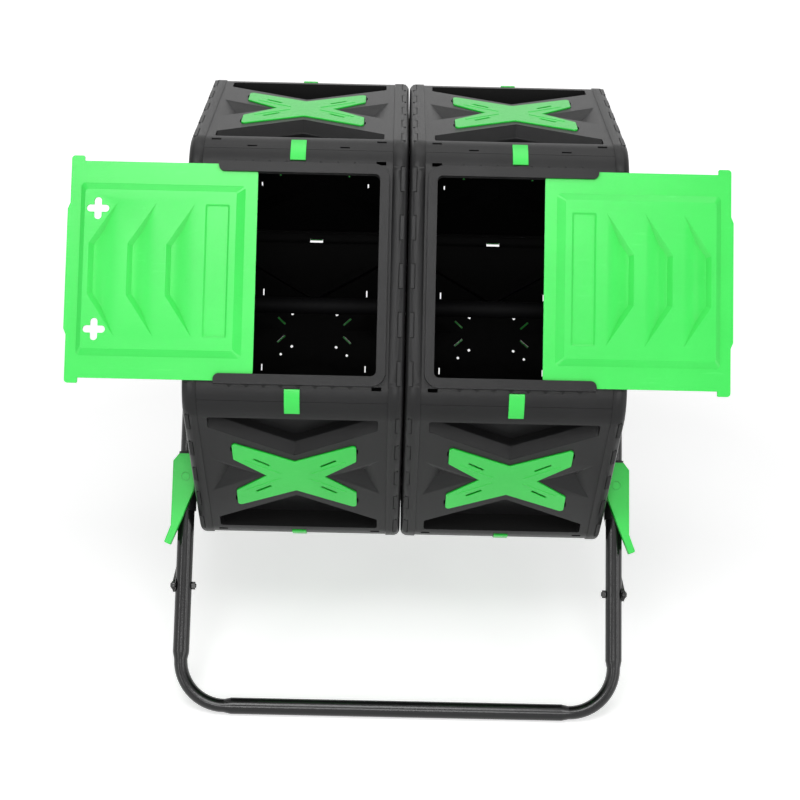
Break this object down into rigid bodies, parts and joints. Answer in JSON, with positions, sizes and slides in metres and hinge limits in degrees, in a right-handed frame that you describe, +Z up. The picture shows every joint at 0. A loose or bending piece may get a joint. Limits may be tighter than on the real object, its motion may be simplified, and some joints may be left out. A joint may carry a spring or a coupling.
{
  "type": "compost tumbler",
  "caption": "Compost tumbler: hexagonal drums side by side on one axle in a bent-tube stand, with sliding doors, vent plates and lock levers.",
  "frame": {"origin": "on the ground, midway between the drums and straight below the axle", "axes": "+Z up, +X along the axle to the right as seen from the door side, -Y out of the door side"},
  "size_m": [0.8884, 0.6879, 0.8144],
  "materials": {
    "black_tube": "gloss black powder coat",
    "black_plastic": "moulded, fine matt grain",
    "green_plastic": "moulded, satin",
    "bearing_plastic": "smooth",
    "zinc_steel": "zinc plated"
  },
  "bodies": {
    "stand": {"front_leg_frame": "black_tube", "rear_leg_frame": "black_tube", "axle_tube": "black_tube", "axle_end_plugs": "zinc_steel", "axle_bolts": "zinc_steel", "axle_washers": "zinc_steel", "axle_spacers": "black_plastic", "left_side_brace": "black_tube", "right_side_brace": "black_tube", "brace_bolts": "black_tube", "brace_nuts": "black_tube", "left_lever_saddle": "black_plastic", "right_lever_saddle": "black_plastic", "lever_pins": "green_plastic"},
    "left_drum": {"left_door_panel": "black_plastic", "left_door_rails": "black_plastic", "left_top_panel": "black_plastic", "left_upper_back_panel": "black_plastic", "left_lower_back_panel": "black_plastic", "left_bottom_panel": "black_plastic", "left_lower_front_panel": "black_plastic", "left_vent_plates": "green_plastic", "left_panel_clips": "green_plastic", "left_outer_end_cap": "black_plastic", "left_inner_end_cap": "black_plastic", "left_outer_bush": "bearing_plastic", "left_inner_bush": "bearing_plastic"},
    "left_door": {"left_door": "green_plastic"},
    "left_lever": {"left_lock_lever": "green_plastic"},
    "right_drum": {"right_door_panel": "black_plastic", "right_door_rails": "black_plastic", "right_top_panel": "black_plastic", "right_upper_back_panel": "black_plastic", "right_lower_back_panel": "black_plastic", "right_bottom_panel": "black_plastic", "right_lower_front_panel": "black_plastic", "right_vent_plates": "green_plastic", "right_panel_clips": "green_plastic", "right_outer_end_cap": "black_plastic", "right_inner_end_cap": "black_plastic", "right_outer_bush": "bearing_plastic", "right_inner_bush": "bearing_plastic"},
    "right_door": {"right_door": "green_plastic"},
    "right_lever": {"right_lock_lever": "green_plastic"}
  },
  "joints": [
    {"name": "left_drum_spin", "type": "hinge", "parent": "stand", "child": "left_drum", "pos_m": [-0.1494, 0, 0.50925], "axis": [-1, 0, 0], "range_deg": [-48, 168]},
    {"name": "right_drum_spin", "type": "hinge", "parent": "stand", "child": "right_drum", "pos_m": [0.1494, 0, 0.50925], "axis": [-1, 0, 0], "range_deg": [-48, 168]},
    {"name": "left_door_slide", "type": "slide", "parent": "left_drum", "child": "left_door", "axis": [-1, 0, 0], "range_m": [-0.17, 0.014]},
    {"name": "right_door_slide", "type": "slide", "parent": "right_drum", "child": "right_door", "axis": [1, 0, 0], "range_m": [-0.151, 0.033]},
    {"name": "left_lever_turn", "type": "hinge", "parent": "stand", "child": "left_lever", "pos_m": [-0.317, -0.14665, 0.28853], "axis": [0, 0.8329, -0.5534], "range_deg": [0, 16]},
    {"name": "right_lever_turn", "type": "hinge", "parent": "stand", "child": "right_lever", "pos_m": [0.317, -0.14665, 0.28853], "axis": [0, -0.8329, 0.5534], "range_deg": [0, 16]}
  ]
}
